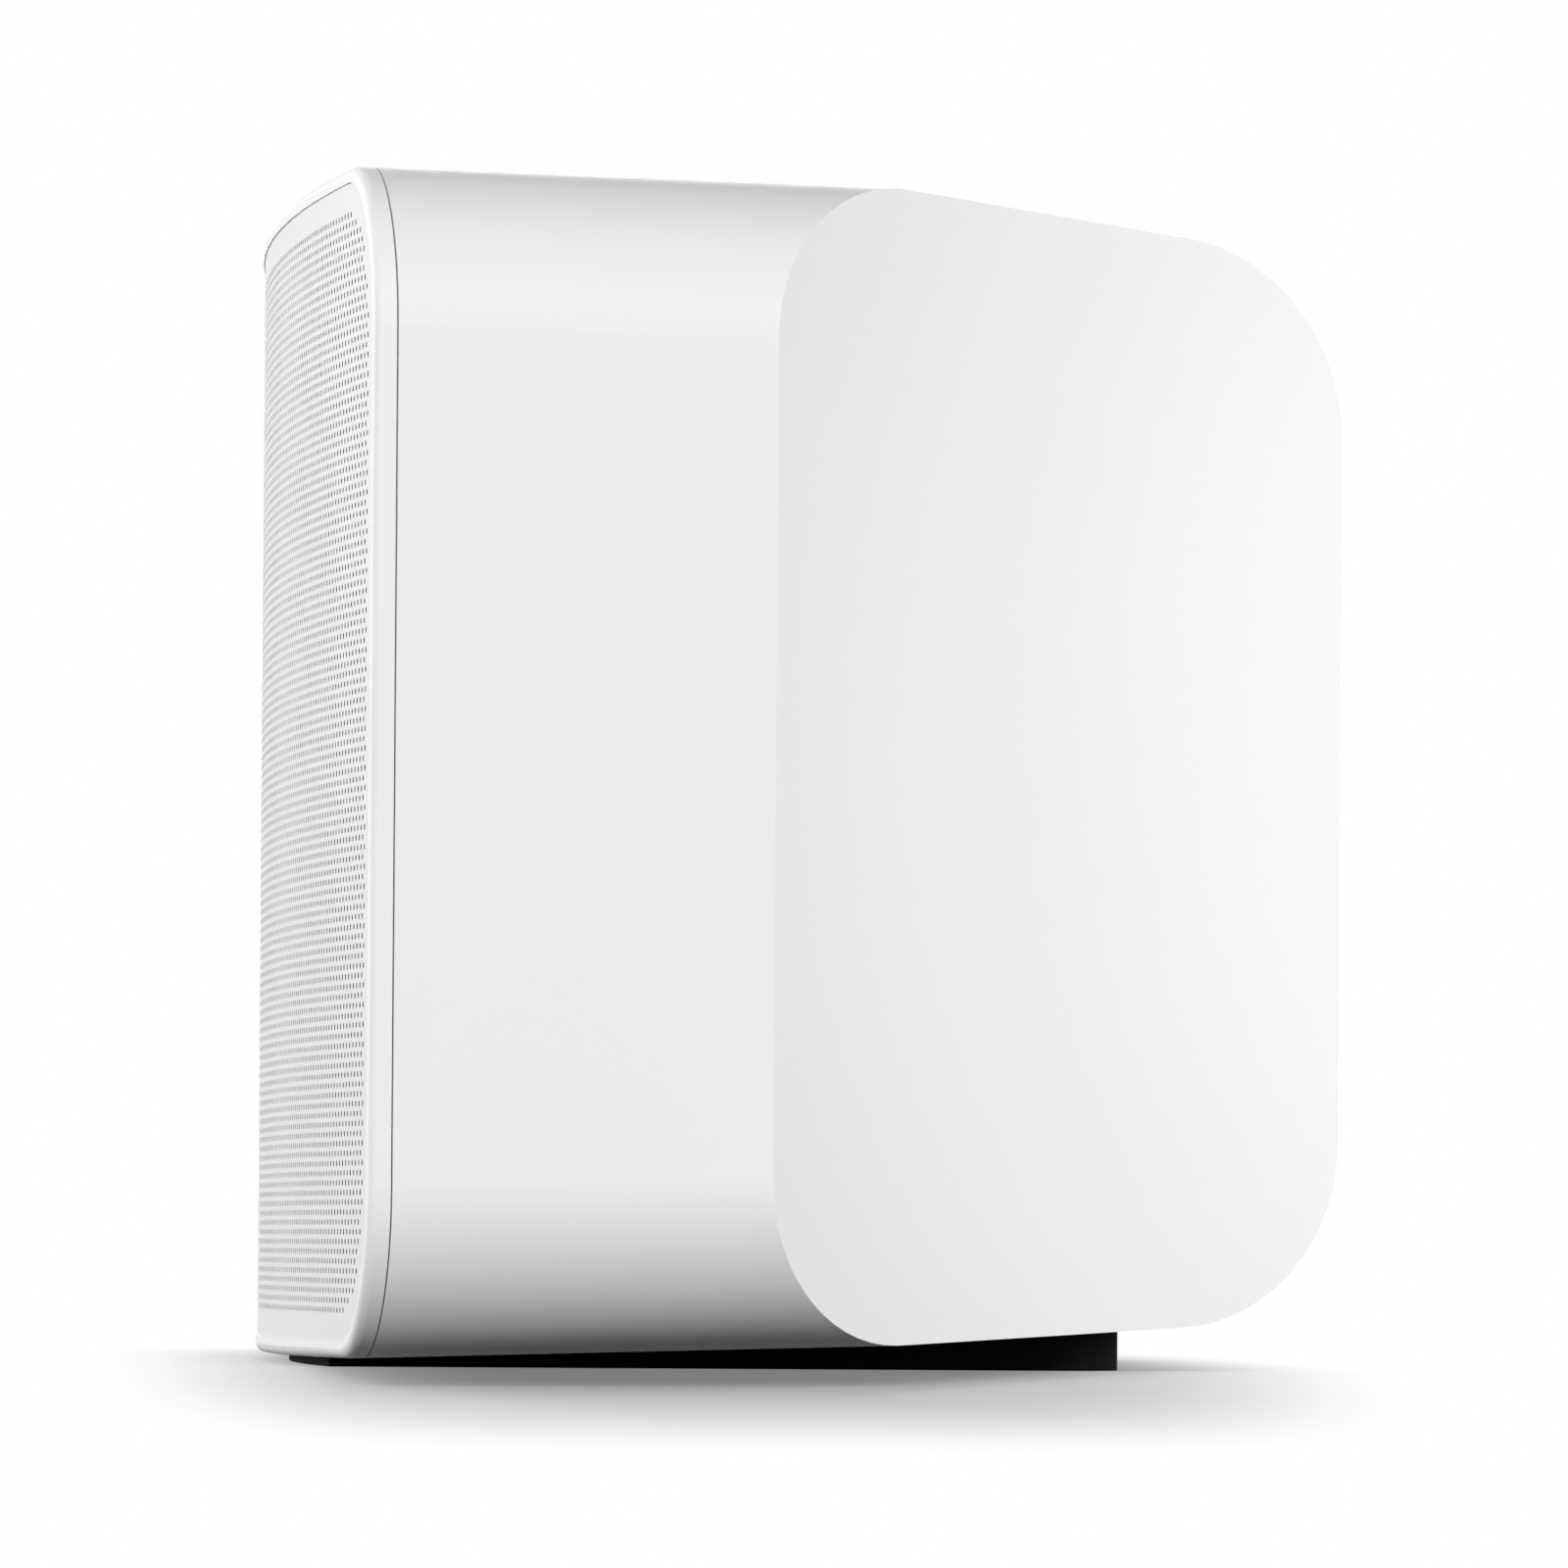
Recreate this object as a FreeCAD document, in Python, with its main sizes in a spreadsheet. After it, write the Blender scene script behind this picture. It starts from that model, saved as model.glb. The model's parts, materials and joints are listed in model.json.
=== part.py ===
import FreeCAD, Part
import math
import os
import re
import Sketcher

# Wireless speaker for a shelf: a wide one-box cabinet with a bowed front.
# Frame: origin under the middle of the box on the surface it stands on,
# the bowed front faces -Y, X is the width and Z points up. Millimetres.

SIZES = {
    # cabinet form
    "width": 420.0,
    "body_height": 196.0,
    "foot_gap": 2.0,
    "bow_sag": 16.0,
    "bezel_depth": 4.0,
    "sleeve_depth": 62.0,
    "rear_depth": 103.5,
    "facet_angle": 52.0,
    "side_draft": 1.5,
    "top_draft": 1.65,
    "rear_fall": 3.15,
    "corner_radius": 27.5,
    "rear_radius": 31.5,
    "lip_radius": 1.6,
    "wall": 3.0,
    "rear_wall": 6.0,
    "seam_gap": 0.3,
    "fit_gap": 0.3,
    # grille and its frame
    "lip_width": 2.5,
    "ledge_width": 5.0,
    "ledge_depth": 1.6,
    "grille_recess": 0.3,
    "grille_sheet": 1.0,
    "cloth_sheet": 0.5,
    "cloth_gap": 0.6,
    "row_pitch": 1.61,
    "hole_width": 1.0,
    "row_web": 2.0,
    "row_margin": 4.7,
    # baffle
    "baffle_setback": 3.0,
    "baffle_sheet": 6.0,
    "driver_inset": 72.0,
    "driver_seat": 6.0,
    "gasket_sheet": 1.0,
    "boss_radius": 4.5,
    "boss_length": 14.0,
    "baffle_screw_rise": 49.0,
    # driver parts that both sizes share
    "flange_sheet": 3.0,
    "frame_wall": 2.0,
    "arm_angle": 22.0,
    "cone_wall": 0.8,
    "roll_wall": 0.7,
    "rim_width": 3.0,
    "surround_ledge": 1.5,
    "spider_sheet": 0.6,
    "coil_wall": 0.6,
    "coil_gap": 0.5,
    "plate_sheet": 4.0,
    "glue_gap": 0.3,
    # bass driver
    "woofer_radius": 66.0,
    "woofer_cone_radius": 49.0,
    "woofer_depth": 42.0,
    "woofer_coil_radius": 13.0,
    "woofer_magnet_radius": 42.0,
    "woofer_magnet_height": 15.0,
    "woofer_spider_radius": 33.6,
    "woofer_cap_radius": 17.0,
    "woofer_cap_rise": 8.5,
    "woofer_reach": 4.0,
    # left and right drivers
    "side_radius": 41.0,
    "side_cone_radius": 28.0,
    "side_depth": 27.0,
    "side_coil_radius": 9.5,
    "side_magnet_radius": 25.0,
    "side_magnet_height": 10.0,
    "side_spider_radius": 20.0,
    "side_cap_radius": 12.0,
    "side_cap_rise": 6.0,
    "side_reach": 2.0,
    # screws
    "screw_radius": 1.5,
    "screw_head_radius": 3.0,
    "screw_head": 1.8,
    "screw_length": 7.0,
    "screw_gap": 0.1,
    # touch controls on top
    "touch_length": 120.0,
    "touch_width": 26.0,
    "touch_corner": 11.7,
    "touch_sheet": 1.6,
    "touch_setback": 42.0,
    "touch_gap": 0.2,
    "touch_border": 2.0,
    "board_sheet": 1.6,
    # foot
    "foot_width": 240.0,
    "foot_setback": 6.0,
    "foot_length": 125.5,
    "foot_corner": 14.0,
    "foot_screw_inset": 42.0,
    "foot_screw_setback": 14.0,
    "foot_screw_pitch": 28.0,
    # rear panel and bass port
    "panel_width": 126.0,
    "panel_height": 104.0,
    "panel_corner": 8.0,
    "panel_sheet": 3.0,
    "panel_sink": 0.6,
    "panel_ledge": 8.0,
    "rear_screw_spread": 41.0,
    "rear_screw_rise": 6.0,
    "port_radius": 14.0,
    "port_wall": 2.0,
    "port_length": 70.0,
    "port_flare": 4.0,
    "port_edge": 1.0,
    "port_rise": 20.0,
    # boards behind the panel
    "board_end": 50.0,
    "board_height": 34.0,
    "main_board_width": 74.0,
    "supply_board_width": 25.0,
    "board_spacing": 3.0,
    "post_radius": 3.0,
    "post_edge": 0.5,
    # connectors, placed from the left end of the main board
    "socket_depth": 15.0,
    "socket_drop": 24.0,
    "socket_sink": 0.4,
    "inlet_width": 20.0,
    "inlet_height": 13.0,
    "inlet_room": 10.6,
    "inlet_lobe_radius": 4.0,
    "inlet_waist": 6.0,
    "inlet_pin_spread": 3.6,
    "inlet_pin_radius": 1.2,
    "inlet_pin_length": 8.5,
    "jack_place": 7.0,
    "jack_side": 9.0,
    "jack_room": 11.6,
    "jack_bore_radius": 1.8,
    "usb_place": 36.0,
    "usb_width": 14.0,
    "usb_height": 7.0,
    "usb_shell": 0.8,
    "usb_room": 11.0,
    "tongue_width": 11.0,
    "tongue_sheet": 1.6,
    "tongue_rise": 1.0,
    "tongue_sink": 1.0,
    "lan_place": 59.0,
    "lan_width": 16.0,
    "lan_height": 13.5,
    "lan_wall": 2.0,
    "lan_room": 12.0,
    # pairing button and its switch
    "button_place": 20.0,
    "button_radius": 2.5,
    "button_proud": 0.5,
    "button_travel": 0.8,
    "button_gap": 0.25,
    "collar_width": 1.5,
    "collar_sheet": 1.0,
    "stem_radius": 1.5,
    "switch_side": 6.0,
    "switch_height": 4.0,
    "plunger_radius": 1.5,
    "plunger_height": 1.5,
    # parts on the boards, placed from the left end of the main board
    "sink_place": 30.0,
    "sink_height": 18.0,
    "sink_depth": 16.0,
    "fin_sheet": 2.0,
    "fin_gap": 2.0,
    "fin_depth": 13.0,
    "module_place": 8.0,
    "module_side": 18.0,
    "module_sheet": 3.0,
    "supply_coil_width": 18.0,
    "supply_coil_height": 16.0,
    "capacitor_radius": 2.6,
    "capacitor_length": 14.0,
    "capacitor_spread": 3.2,
    "capacitor_rise": 12.5,
    "antenna_width": 12.0,
    "antenna_height": 40.0,
}

doc = FreeCAD.newDocument("wireless_speaker")
sheet = doc.addObject("Spreadsheet::Sheet", "dims")
for line, (name, size) in enumerate(SIZES.items(), 1):
    sheet.set(f"A{line}", name)
    sheet.set(f"B{line}", str(size))
    sheet.setAlias(f"B{line}", name)
doc.recompute()

# Places worked out from the sizes, as formulas
HALF = "(width / 2)"
TOTAL = "(bow_sag + bezel_depth + sleeve_depth + rear_depth)"
FRONT_Y = f"(-{TOTAL} / 2)"
SIDE_FRONT_Y = f"({FRONT_Y} + bow_sag)"
SEAM_Y = f"({SIDE_FRONT_Y} + bezel_depth)"
CREASE_Y = f"({SEAM_Y} + sleeve_depth)"
REAR_Y = f"({TOTAL} / 2)"
CREASE_X = f"({HALF} - (bezel_depth + sleeve_depth) * tan(side_draft))"
REAR_X = f"({CREASE_X} - rear_depth * tan(facet_angle))"
BOW_R = f"(({HALF}^2 + bow_sag^2) / (2 * bow_sag))"
CORNER_RUN = "(corner_radius / (tan(facet_angle) - tan(side_draft)))"
BREAK_Y = f"({CREASE_Y} + {CORNER_RUN} + fit_gap)"
MID_Z = "(foot_gap + body_height / 2)"
BAFFLE_Y = f"({SEAM_Y} + baffle_setback)"
BAFFLE_BACK_Y = f"({BAFFLE_Y} + baffle_sheet)"
PANEL_Y = f"({REAR_Y} - panel_sink)"
PANEL_BACK_Y = f"({PANEL_Y} - panel_sheet)"
BOARD_Y = f"({PANEL_BACK_Y} - socket_depth)"
DRIVER_X = f"({HALF} - driver_inset)"
BETWEEN_X = f"((woofer_radius + {DRIVER_X} - side_radius) / 2)"

# How far a cutting shape runs past what it cuts, and how near counts as on a face
SPARE = "20"
OVERCUT = "1"
NEAR = 0.01
FIN_GAP_COUNT = 7
SLOT_COUNT = 6
FOLD_COUNT = 4


def formula(text):
    """Point every size's name in a formula at its cell."""
    return re.sub(r"[a-z_]+", lambda word: "dims." + word[0] if word[0] in SIZES else word[0], text)


def value(text):
    return float(sheet.evalExpression(formula(text)))


def bind(thing, name, text):
    thing.setExpression(name, formula(text))


def place(thing, x="0", y="0", z="0"):
    """Tie an object's place to formulas."""
    for axis, text in zip("xyz", (x, y, z)):
        if text != "0":
            bind(thing, "Placement.Base." + axis, text)
    return thing


# Ways that an object's own Z can point
WAYS = {"front": (0, -1, 0), "back": (0, 1, 0), "down": (0, 0, -1), "up": (0, 0, 1)}


def face(thing, way):
    """Turn an object so that its own Z points the given way."""
    upright = FreeCAD.Vector(0, 0, 1)
    thing.Placement.Rotation = FreeCAD.Rotation(upright, FreeCAD.Vector(WAYS[way]))
    return thing


def arc_between(start, end, radius):
    """Short arc from start to end; a positive radius turns left, a negative one right."""
    chord = end - start
    side = FreeCAD.Vector(-chord.y, chord.x, 0).normalize()
    if radius < 0:
        side = -side
    centre = (start + end) / 2 + side * (radius ** 2 - (chord.Length / 2) ** 2) ** 0.5
    first, last = (start, end) if radius > 0 else (end, start)
    angles = [math.atan2(spot.y - centre.y, spot.x - centre.x) for spot in (first, last)]
    circle = Part.Circle(centre, FreeCAD.Vector(0, 0, 1), abs(radius))
    return Part.ArcOfCircle(circle, *angles)


def draw(sketch, points):
    """Closed outline of (x, y) formulas; a third formula bows the edge that follows."""
    spots = [FreeCAD.Vector(value(point[0]), value(point[1]), 0) for point in points]
    ends = []
    for index, point in enumerate(points):
        start, end = spots[index], spots[(index + 1) % len(spots)]
        if len(point) == 3:
            radius = value(point[2])
            number = sketch.addGeometry(arc_between(start, end, radius))
            ends.append((number, 1, 2) if radius > 0 else (number, 2, 1))
        else:
            ends.append((sketch.addGeometry(Part.LineSegment(start, end)), 1, 2))
    rules = []
    texts = []
    for index, point in enumerate(points):
        number, first, last = ends[index]
        follower = ends[(index + 1) % len(ends)]
        rules.append(Sketcher.Constraint("Coincident", number, last, follower[0], follower[1]))
        texts.append(None)
        for kind, axis, text in (("DistanceX", -2, point[0]), ("DistanceY", -1, point[1])):
            if text == "0":
                rules.append(Sketcher.Constraint("PointOnObject", number, first, axis))
                texts.append(None)
            else:
                rules.append(Sketcher.Constraint(kind, -1, 1, number, first, value(text)))
                texts.append(text)
        if len(point) == 3:
            rules.append(Sketcher.Constraint("Radius", number, abs(value(point[2]))))
            texts.append(f"abs({point[2]})")
    for number, text in zip(sketch.addConstraint(rules), texts):
        if text:
            bind(sketch, f"Constraints[{number}]", text)


def new_body(label):
    body = doc.addObject("PartDesign::Body", label)
    body.Label = label
    return body


def sketch_on(body, role, *outlines):
    sketch = body.newObject("Sketcher::SketchObject", body.Name + "_outline")
    plane = [item for item in body.Origin.OriginFeatures if item.Role == role][0]
    sketch.AttachmentSupport = (plane, [""])
    sketch.MapMode = "FlatFace"
    for points in outlines:
        draw(sketch, points)
    return sketch


def pad(body, role, low, high, *outlines):
    """Pad outlines from low to high along the plane's axis; XZ sketches face -Y."""
    sketch = sketch_on(body, role, *outlines)
    bind(sketch, "AttachmentOffset.Base.z", f"-({high})" if role == "XZ_Plane" else low)
    feature = body.newObject("PartDesign::Pad", body.Name + "_pad")
    feature.Refine = False
    feature.Profile = sketch
    bind(feature, "Length", f"{high} - ({low})")
    return feature


def pocket_through(body, role, *outlines):
    feature = body.newObject("PartDesign::Pocket", body.Name + "_pocket")
    feature.Refine = False
    feature.Profile = sketch_on(body, role, *outlines)
    feature.Type = "ThroughAll"
    feature.Midplane = True
    return feature


def revolve(label, points):
    """Body turned from a profile of (radius, height) formulas about its own Z."""
    body = new_body(label)
    sketch = sketch_on(body, "XZ_Plane", points)
    feature = body.newObject("PartDesign::Revolution", label + "_turn")
    feature.Profile = sketch
    feature.ReferenceAxis = (sketch, ["V_Axis"])
    feature.Angle = 360
    return body


def round_edges(body, base, radius, wanted):
    """Fillet the edges of the base feature whose end points pass a test.

    A loop of edges can be rounded from any of them, so the next one is tried where it doesn't close.
    """
    doc.recompute()
    found = []
    for index, edge in enumerate(base.Shape.Edges, 1):
        ends = [vertex.Point for vertex in edge.Vertexes]
        if len(ends) == 2 and wanted(*ends):
            found.append((tuple(edge.CenterOfMass), f"Edge{index}"))
    feature = body.newObject("PartDesign::Fillet", body.Name + "_round")
    feature.Refine = False
    bind(feature, "Radius", radius)
    names = [name for middle, name in sorted(found)]
    for start in range(len(names)):
        feature.Base = (base, names[start:] + names[:start])
        doc.recompute()
        if feature.isValid():
            break
    return feature


def boolean(kind, label, base, tool):
    thing = doc.addObject("Part::" + kind, label)
    thing.Label = label
    thing.Base = base
    thing.Tool = tool
    return thing


def cut(label, base, *tools):
    for number, tool in enumerate(tools):
        last = number == len(tools) - 1
        base = boolean("Cut", label if last else f"{label}_stage_{number}", base, tool)
    return base


def common(label, base, tool):
    return boolean("Common", label, base, tool)


def fuse(label, *things):
    thing = doc.addObject("Part::MultiFuse", label)
    thing.Label = label
    thing.Shapes = list(things)
    return thing


def group(label, things):
    thing = doc.addObject("Part::Compound", label)
    thing.Label = label
    thing.Links = list(things)
    return thing


def box(label, low, high):
    """Box between two corners given as (x, y, z) formulas."""
    thing = doc.addObject("Part::Box", label)
    thing.Label = label
    for name, start, end in zip(("Length", "Width", "Height"), low, high):
        bind(thing, name, f"{end} - ({start})")
    return place(thing, *low)


def rod(label, radius, length, way, x, y, z):
    """Cylinder that starts at a point and runs the given way."""
    thing = doc.addObject("Part::Cylinder", label)
    thing.Label = label
    bind(thing, "Radius", radius)
    bind(thing, "Height", length)
    return place(face(thing, way), x, y, z)


def rounded_rectangle(half_width, half_height, corner, middle="0"):
    """Upright outline about the middle height, its corners as arcs."""
    right, left = half_width, f"-({half_width})"
    top, low = f"({middle} + {half_height})", f"({middle} - ({half_height}))"
    return [
        (f"{left} + {corner}", low),
        (f"{right} - ({corner})", low, corner),
        (right, f"{low} + {corner}"),
        (right, f"{top} - ({corner})", corner),
        (f"{right} - ({corner})", top),
        (f"{left} + {corner}", top, corner),
        (left, f"{top} - ({corner})"),
        (left, f"{low} + {corner}", corner),
    ]


# Cabinet form, which the shell, the bezel and the baffle are all cut from

def bow_y(side_y, x):
    """Where the bow that passes side_y at full width lies at x."""
    return f"({side_y} - bow_sag + {BOW_R} - sqrt({BOW_R}^2 - ({x})^2))"


def form_top(y, inset):
    """Height of the top over the middle at a place in front of the break."""
    return f"(body_height / 2 - ({inset}) - ({y} - {SIDE_FRONT_Y}) * tan(top_draft))"


def cabinet_form(label, inset, rear_inset, front_y, front_lip):
    """Outer form of the cabinet, or a smaller copy of it that bounds a space inside."""
    body = new_body(label)
    side_x = f"({HALF} - ({inset}))"
    crease_x = f"({CREASE_X} - ({inset}))"
    crease_y = f"({CREASE_Y} - ({inset}) * tan(facet_angle / 2))"
    rear_y = f"({REAR_Y} - ({rear_inset}))"
    lean = f"(({inset}) / cos(facet_angle))"
    rear_x = f"({REAR_X} - {lean} + ({rear_inset}) * tan(facet_angle))"
    front = bow_y(front_y, side_x)
    pad(body, "XY_Plane", f"-{SPARE}", f"body_height + {SPARE}", [
        (f"-{side_x}", front, BOW_R),
        (side_x, front),
        (crease_x, crease_y),
        (rear_x, rear_y),
        (f"-{rear_x}", rear_y),
        (f"-{crease_x}", crease_y),
    ])
    start_y = f"({FRONT_Y} - {SPARE})"
    end_y = f"({REAR_Y} + {SPARE})"
    break_top = form_top(BREAK_Y, inset)
    end_top = f"({break_top} - ({end_y} - {BREAK_Y}) * tan(rear_fall))"
    reach = f"(body_height / 2 + 2 * {SPARE})"
    outlines = []
    for sign in ("+", "-"):
        outlines.append([
            (start_y, f"{MID_Z} {sign} {form_top(start_y, inset)}"),
            (BREAK_Y, f"{MID_Z} {sign} {break_top}"),
            (end_y, f"{MID_Z} {sign} {end_top}"),
            (end_y, f"{MID_Z} {sign} {reach}"),
            (start_y, f"{MID_Z} {sign} {reach}"),
        ])
    sloped = pocket_through(body, "YZ_Plane", *outlines)
    side = value(crease_x) - NEAR
    back = value(rear_y) - NEAR

    def corner_edge(one, other):
        along = abs(one.y - other.y) > abs(one.z - other.z)
        return along and min(abs(one.x), abs(other.x)) > side and one.x * other.x > 0

    def rear_edge(one, other):
        return min(one.y, other.y) > back and abs(one.x - other.x) > abs(one.z - other.z)

    rounded = round_edges(body, sloped, f"corner_radius - ({inset})", corner_edge)
    rounded = round_edges(body, rounded, f"rear_radius - ({rear_inset})", rear_edge)
    if front_lip:
        edge_y = value(SIDE_FRONT_Y) + NEAR

        def lip_edge(one, other):
            return max(one.y, other.y) < edge_y

        round_edges(body, rounded, "lip_radius", lip_edge)
    return body


def bow_slab(label, front_y, back_y, flat_back=False):
    """Tall slab between two copies of the bow, or the bow and a flat plane."""
    body = new_body(label)
    reach = f"({HALF} + {SPARE} / 2)"
    outline = [(f"-{reach}", bow_y(front_y, reach), BOW_R), (reach, bow_y(front_y, reach))]
    if flat_back:
        outline += [(reach, back_y), (f"-{reach}", back_y)]
    else:
        outline += [(reach, bow_y(back_y, reach), f"-{BOW_R}"), (f"-{reach}", bow_y(back_y, reach))]
    pad(body, "XY_Plane", f"-{SPARE}", f"body_height + 2 * {SPARE}", outline)
    return body


def window(label, inset, front_y, back_y):
    """Straight prism through the front with the cabinet's own rounded outline, inset."""
    body = new_body(label)
    outline = rounded_rectangle(
        f"({HALF} - ({inset}))", f"(body_height / 2 - ({inset}))", f"(corner_radius - ({inset}))", MID_Z)
    pad(body, "XZ_Plane", front_y, back_y, outline)
    return body


FAR_FRONT = f"({FRONT_Y} - {SPARE})"
outer_form = cabinet_form("outer_form", "0", "0", SIDE_FRONT_Y, True)
inner_form = cabinet_form("inner_form", "wall", "rear_wall", f"{SIDE_FRONT_Y} - {SPARE} / 2", False)
plug_form = cabinet_form("plug_form", "wall + fit_gap", "rear_wall", f"{SIDE_FRONT_Y} - {SPARE} / 2", False)

# Bezel: the rounded front ring, with a skirt that plugs into the shell

LEDGE_Y = f"({SIDE_FRONT_Y} + grille_recess + grille_sheet)"
bezel_ring = common("bezel_ring", outer_form, bow_slab("bezel_zone", FAR_FRONT, f"{SEAM_Y} - seam_gap"))
bezel_skirt = common(
    "bezel_skirt", plug_form, bow_slab("skirt_zone", f"{SEAM_Y} - seam_gap - ledge_depth", BAFFLE_Y, True))
grille_pocket = common(
    "grille_pocket", window("grille_window", "lip_width", FAR_FRONT, BAFFLE_Y),
    bow_slab("grille_depth", FAR_FRONT, LEDGE_Y))
front_bezel = cut(
    "front_bezel", fuse("bezel_blank", bezel_ring, bezel_skirt), grille_pocket,
    window("bezel_window", "lip_width + ledge_width", FAR_FRONT, f"{BAFFLE_Y} + {OVERCUT}"))

# Grille: a bowed sheet in the bezel's pocket, open in rows, with cloth behind it

def grille_rows():
    """A few slots for each row of fine holes, shorter where the corners round off."""
    inset = value("lip_width + row_margin")
    half_width = value(HALF) - inset
    half_height = value("body_height / 2") - inset
    corner = value("corner_radius") - inset
    pitch = value("row_pitch")
    slot = value("hole_width")
    web = value("row_web")
    front = value(FAR_FRONT)
    depth = value(BAFFLE_Y) - front
    count = int(2 * (half_height - slot / 2) / pitch) + 1
    slots = []
    for row in range(count):
        height = (row - (count - 1) / 2) * pitch
        past = max(abs(height) - (half_height - corner), 0)
        reach = half_width - corner + (corner ** 2 - past ** 2) ** 0.5
        run = (2 * reach - (SLOT_COUNT - 1) * web) / SLOT_COUNT
        for place in range(SLOT_COUNT):
            start = FreeCAD.Vector(place * (run + web) - reach, front, value(MID_Z) + height - slot / 2)
            slots.append(Part.makeBox(run, depth, slot, start))
    thing = doc.addObject("Part::Feature", "grille_rows")
    thing.Shape = Part.makeCompound(slots)
    return thing


GRILLE_Y = f"({SIDE_FRONT_Y} + grille_recess)"
grille_sheet = common(
    "grille_blank", window("grille_outline", "lip_width + fit_gap", FAR_FRONT, BAFFLE_Y),
    bow_slab("grille_layer", GRILLE_Y, LEDGE_Y))
front_grille = cut("front_grille", grille_sheet, grille_rows())
grille_cloth = common(
    "grille_cloth", window("cloth_outline", "lip_width + ledge_width + fit_gap", FAR_FRONT, BAFFLE_Y),
    bow_slab("cloth_layer", f"{LEDGE_Y} + cloth_gap", f"{LEDGE_Y} + cloth_gap + cloth_sheet"))

# Screws, in groups of separate solids, and the holes that they pass through

def step_back(spot, way, distance):
    """The point that lies a distance behind a spot, seen the given way."""
    x, y, z = spot
    if way == "front":
        return x, f"({y} + {distance})", z
    if way == "back":
        return x, f"({y} - ({distance}))", z
    return x, y, f"({z} + {distance})"


def screw_set(label, way, spots):
    """Pan head screws whose heads seat at the given spots, and their clearance holes."""
    screws = []
    holes = []
    for number, spot in enumerate(spots):
        name = f"{label}_{number}"
        head = rod(name + "_head", "screw_head_radius", "screw_head", way, *spot)
        tip = step_back(spot, way, "screw_length")
        shank = rod(name + "_shank", "screw_radius", "screw_length", way, *tip)
        screws.append(fuse(name, head, shank))
        past_tip = step_back(spot, way, "(screw_length + screw_gap)")
        hole_length = "2 * (screw_length + screw_gap)"
        holes.append(rod(name + "_hole", "screw_radius + screw_gap", hole_length, way, *past_tip))
    return group(label, screws), group(label + "_holes", holes)


# Drivers: each has a frame, a motor and a cone that moves along its axis

def driver_place(thing, x):
    return place(face(thing, "front"), x, f"{BAFFLE_Y} - gasket_sheet", MID_Z)


def frame_windows(body, inner, outer, low, count):
    """Openings between the arms of a driver's frame."""
    spread = f"tan({180 / count} - arm_angle / 2)"
    sketch = sketch_on(body, "XY_Plane", [
        (inner, f"-({inner}) * {spread}"),
        (outer, f"-({outer}) * {spread}"),
        (outer, f"({outer}) * {spread}"),
        (inner, f"({inner}) * {spread}"),
    ])
    bind(sketch, "AttachmentOffset.Base.z", "-2 * frame_wall")
    opening = body.newObject("PartDesign::Pocket", body.Name + "_window")
    opening.Profile = sketch
    bind(opening, "Length", f"-2 * frame_wall - ({low})")
    pattern = body.newObject("PartDesign::PolarPattern", body.Name + "_windows")
    pattern.Originals = [opening]
    pattern.Axis = (sketch, ["N_Axis"])
    pattern.Angle = 360
    pattern.Occurrences = count
    body.Tip = pattern


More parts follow.
